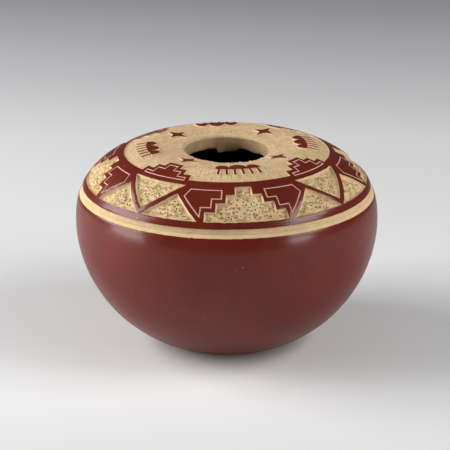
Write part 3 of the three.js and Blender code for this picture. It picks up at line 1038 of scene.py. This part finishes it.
def coat_piece(node, points, lifts, triangles, finishes):
    """A coat of slip over these triangles of the map: its face, its back and its cut edge."""
    used = sorted({corner for triangle in triangles for corner in triangle})
    place = {corner: index for index, corner in enumerate(used)}
    faces = [tuple(place[corner] for corner in triangle) for triangle in triangles]
    along, way = from_map(points[used])
    front = wall_points(along, way, lifts[used] + raised(along, way))
    back = wall_points(along, way, -SLIP_THICKNESS + raised(along, way))
    count = len(used)
    sides = {(face[i], face[(i + 1) % 3]) for face in faces for i in range(3)}
    edges = [(start, end) for start, end in sides if (end, start) not in sides]
    behind = [tuple(corner + count for corner in reversed(face)) for face in faces]
    cut = [(start + count, end + count, end, start) for start, end in sorted(edges)]
    finishes = finishes + finishes + ["cut_clay"] * len(cut)
    shape = Shape()
    shape.add(np.concatenate([front, back]), faces + behind + cut, finishes)
    shape.piece(node.replace("slip", "coat"), "red_slip", node)


def belly_coat():
    """The slip on the belly, from its thin edge above the foot up to the groove's low edge."""
    way = angles(GROOVE_SEGMENTS)
    low, low_way = groove_edges()[1]
    unevenness = wobble(on_pot(FOOT_RADIUS, 0, way), THIN_EDGE_SIZE, seed=12)
    thin = BARE_FOOT_EDGE + THIN_EDGE_STRAY * unevenness
    first, last = BARE_FOOT_EDGE + BELLY_MARGINS[0], GROOVE_LOW - BELLY_MARGINS[1]
    front = [wall_points(row, way, 0) for row in np.arange(first, last, BELLY_ROW)]
    back_rows = reversed(np.arange(first, last, BACK_ROW))
    back = [wall_points(row, way, -SLIP_THICKNESS) for row in back_rows]
    outside = [
        wall_points(thin, way, -SLIP_THICKNESS / 2),
        wall_points(thin + THIN_EDGE_WIDTH, way, 0),
        *front,
        wall_points(low - EDGE_ROUNDING, low_way, 0),
        wall_points(low, low_way, -EDGE_DROP),
    ]
    edge = wall_points(low, low_way, -SLIP_THICKNESS)
    foot_edge = wall_points(thin, way, -SLIP_THICKNESS)
    shape = Shape()
    shape.add_lathe(outside, "slip")
    shape.add_lathe([outside[-1], edge], "cut_clay")
    shape.add_lathe([edge, *back, foot_edge, outside[0]], "slip")
    shape.piece("belly_coat", "red_slip", "belly_slip")


def linear(red, green, blue):
    """A colour given as the screen shows it, as the shader needs it."""
    return tuple(((value / 255 + 0.055) / 1.055) ** 2.4 for value in (red, green, blue)) + (1,)


class Finish:
    """Short calls that build one procedural material."""

    def __init__(self, name, settings):
        self.material = bpy.data.materials.new(name)
        self.material.use_nodes = True
        self.tree = self.material.node_tree
        self.shader = self.tree.nodes["Principled BSDF"]
        self.place = self.node("TexCoord", {}).outputs["Object"]
        for socket, value in settings.items():
            self.shader.inputs[socket].default_value = value

    def node(self, kind, sockets, **settings):
        """Adds a node. A socket takes a number or another node's output."""
        made = self.tree.nodes.new("ShaderNode" + kind)
        for setting, value in settings.items():
            setattr(made, setting, value)
        for socket, value in sockets.items():
            if isinstance(value, bpy.types.NodeSocket):
                self.tree.links.new(value, made.inputs[socket])
            else:
                made.inputs[socket].default_value = value
        return made

    def maths(self, operation, first, second=0.0):
        """Works out one number from one or two others."""
        return self.node("Math", {0: first, 1: second}, operation=operation).outputs[0]

    def noise(self, size, stretch=EVEN, detail=3.0, place=None):
        """Noise with features of a size in millimetres, drawn out along each axis by the stretch."""
        scale = [1 / (size * METRES * along) for along in stretch]
        mapped = self.node("Mapping", {"Vector": place or self.place, "Scale": scale}).outputs[0]
        return self.node("TexNoise", {"Vector": mapped, "Scale": 1.0, "Detail": detail}).outputs[0]

    def dots(self, cell):
        """The distance to the nearest of scattered points, one to a cell of a size in millimetres."""
        scale = 1 / (cell * METRES)
        near = self.node("TexVoronoi", {"Vector": self.place, "Scale": scale}).outputs["Distance"]
        return self.maths("MULTIPLY", near, float(cell))

    def around(self):
        """Coordinates round the upright axis: the way round, the radius and the height."""
        apart = self.node("SeparateXYZ", {"Vector": self.place}).outputs
        turn = self.maths("ARCTAN2", apart["X"], self.maths("MULTIPLY", apart["Y"], -1.0))
        way = self.maths("MULTIPLY", turn, CROWN_RADIUS * METRES)
        squares = [self.maths("POWER", self.maths("ABSOLUTE", apart[axis]), 2.0) for axis in "XY"]
        radius = self.maths("SQRT", self.maths("ADD", *squares))
        return self.node("CombineXYZ", {"X": way, "Y": radius, "Z": apart["Z"]}).outputs[0]

    def ramp(self, factor, stops):
        """Colours between stops, which are a position and a screen colour each."""
        made = self.node("ValToRGB", {"Fac": factor})
        elements = made.color_ramp.elements
        while len(elements) < len(stops):
            elements.new(0.5)
        for element, (position, colour) in zip(elements, stops):
            element.position = position
            element.color = linear(*colour)
        return made.outputs[0]

    def spread(self, factor, low, high, first, second):
        """Takes the factor's range from low to high to the range from first to second."""
        sockets = {"Value": factor, 1: low, 2: high, 3: first, 4: second}
        return self.node("MapRange", sockets).outputs[0]

    def tinted(self, base, colour, factor, low, high, most):
        """The base with a screen colour mixed in: none at the factor's low, most at its high."""
        share = self.spread(factor, low, high, 0.0, most)
        # The Mix node's sockets 6 and 7 and its output 2 are the ones for colours.
        return self.node("Mix", {0: share, 6: base, 7: linear(*colour)}, data_type="RGBA").outputs[2]

    def finish(self, colour, roughness=None, *bumps):
        """Joins the colour, any roughness and bumps, each a height and a depth, to the shader."""
        normal = None
        for height, depth in bumps:
            made = self.node("Bump", {"Height": height, "Distance": depth * METRES})
            if normal:
                self.tree.links.new(normal, made.inputs["Normal"])
            normal = made.outputs[0]
        joined = {
            "Base Color": colour, "Roughness": roughness, "Normal": normal, "Coat Normal": normal
        }
        for socket, value in joined.items():
            if value:
                self.tree.links.new(value, self.shader.inputs[socket])
        return self.material


def slip_finish():
    """Red slip rubbed with a smooth stone: satin, softly mottled, with faint strokes and specks."""
    polish = {"Coat Weight": 0.21, "Coat IOR": 2.0, "Coat Roughness": 0.2}
    gloss = {"Specular IOR Level": 0.08, "Specular Tint": GLOSS_TINT}
    made = Finish("slip", {**gloss, **polish})
    mottle = made.noise(MOTTLE_SIZE, detail=2.0)
    grain = made.noise(SLIP_GRAIN_SIZE, detail=4.0)
    strokes = made.noise(STROKE_SIZE, STROKE_STRETCH)
    base = made.ramp(mottle, [(NOISE_LOW, SLIP_DARK), (NOISE_HIGH, SLIP_LIGHT)])
    base = made.tinted(base, SLIP_GRAIN, grain, *SLIP_GRAIN_TINT)
    base = made.tinted(base, SLIP_SPECKS, made.dots(SPECK_CELL), *SPECK_TINT)
    rubbed = made.maths("ADD", mottle, strokes)
    roughness = made.spread(rubbed, 2 * NOISE_LOW, 2 * NOISE_HIGH, *SLIP_ROUGHNESS)
    bumps = ((strokes, STROKE_DEPTH), (grain, SLIP_GRAIN_DEPTH), (mottle, MOTTLE_DEPTH))
    return made.finish(base, roughness, *bumps)


def clay_finish(name, tones, spots, roughness, *marks):
    """Bare fired clay: two tones, spots of a third, grain, and the marks of a tool."""
    dark, light = tones
    made = Finish(name, {"Specular IOR Level": 0.25})
    patches = made.noise(PATCH_SIZE, detail=4.0)
    grain = made.noise(CLAY_GRAIN_SIZE)
    base = made.ramp(patches, [(NOISE_LOW, dark), (NOISE_HIGH, light)])
    base = made.tinted(base, spots, grain, *SPOT_TINT)
    bumps = [(grain, CLAY_GRAIN_DEPTH)]
    for direction, size, depth, strength in marks:
        cuts = made.noise(size, direction, place=made.around())
        base = made.tinted(base, spots, cuts, *MARK_RANGE, strength)
        bumps.append((cuts, depth))
    rough = (roughness - ROUGHNESS_SPREAD, roughness + ROUGHNESS_SPREAD)
    return made.finish(base, made.spread(grain, NOISE_LOW, NOISE_HIGH, *rough), *bumps)


FINISHES = {"slip": slip_finish()}
for name, look in CLAY_LOOKS.items():
    FINISHES[name] = clay_finish(name, *look)


def coats(points, lifts, triangles, labels):
    """The coats of slip on the shoulder and collar, each for its own node."""
    nodes = ["shoulder_slip" if label in ("slip", "line") else label for label in labels]
    for node in sorted({node for node in nodes if "_slip" in node}):
        chosen = [index for index, name in enumerate(nodes) if name == node]
        finishes = ["incised_line" if labels[index] == "line" else "slip" for index in chosen]
        faces = [triangles[index] for index in chosen]
        coat_piece(node, points, lifts, faces, finishes)


map_points, slip_lifts, clay_lifts, triangles, labels = carve().triangulate()
clay_piece(map_points, clay_lifts, triangles, labels)
coats(map_points, slip_lifts, triangles, labels)
belly_coat()


def stage_floor():
    """A wide pale floor whose colour darkens at its front edge and towards the back: painted shade of
    light falling off.
    """
    mesh = bpy.data.meshes.new("studio_floor")
    sides = (-FLOOR_HALF_WIDTH, FLOOR_HALF_WIDTH)
    mesh.from_pydata([(x, y, -FLOOR_DROP) for x in sides for y in sides], [], [(0, 2, 3, 1)])
    made = Finish("studio_floor", {"Specular IOR Level": 0.2, "Roughness": 0.7})
    back = made.node("SeparateXYZ", {"Vector": made.place}).outputs["Y"]
    far = made.spread(back, *FLOOR_SHADE_RAMP_ENDS, 0.0, 1.0)
    mesh.materials.append(made.finish(made.ramp(far, FLOOR_SHADE_RAMP)))
    placed("studio_floor", mesh)


def softbox(name, azimuth, elevation, width, height, watts):
    """A soft light that faces the middle of the pot."""
    data = bpy.data.lights.new(name, "AREA")
    data.shape = "RECTANGLE"
    data.size, data.size_y = width, height
    data.energy, data.color = watts, LAMP_COLOUR
    turn, rise = radians(azimuth), radians(elevation)
    away = Vector(on_pot(cos(rise), sin(rise), turn))
    light = placed(name, data)
    light.location = POT_MIDDLE + away * SOFTBOX_DISTANCE
    light.rotation_euler = away.to_track_quat("Z", "Y").to_euler()


def studio_world():
    """An even dim room round the studio."""
    world = bpy.data.worlds.new("studio_world")
    world.use_nodes = True
    background = world.node_tree.nodes["Background"]
    background.inputs["Color"].default_value = WORLD_COLOUR
    background.inputs["Strength"].default_value = WORLD_STRENGTH
    bpy.context.scene.world = world


def camera():
    """The photograph's view: from a little above, through a long lens."""
    data = bpy.data.cameras.new("camera")
    data.sensor_width = SENSOR_WIDTH
    data.lens = FOCAL_PIXELS * SENSOR_WIDTH / IMAGE_WIDTH
    made = placed("camera", data)
    elevation = radians(CAMERA_ELEVATION)
    away = Vector((0, -cos(elevation), sin(elevation)))
    up = Vector((0, sin(elevation), cos(elevation)))
    middle = Vector((0, 0, CAMERA_LOOK_HEIGHT))
    pixel = CAMERA_DISTANCE / FOCAL_PIXELS
    aim = middle + (up * AIM_PIXELS_UP - Vector((AIM_PIXELS_LEFT, 0, 0))) * pixel
    made.location = middle + away * CAMERA_DISTANCE
    made.rotation_euler = (made.location - aim).to_track_quat("Z", "Y").to_euler()
    bpy.context.scene.camera = made


stage_floor()
studio_world()
for name, settings in SOFTBOXES.items():
    softbox(name, *settings)
camera()
bpy.context.scene.view_settings.view_transform = "Standard"
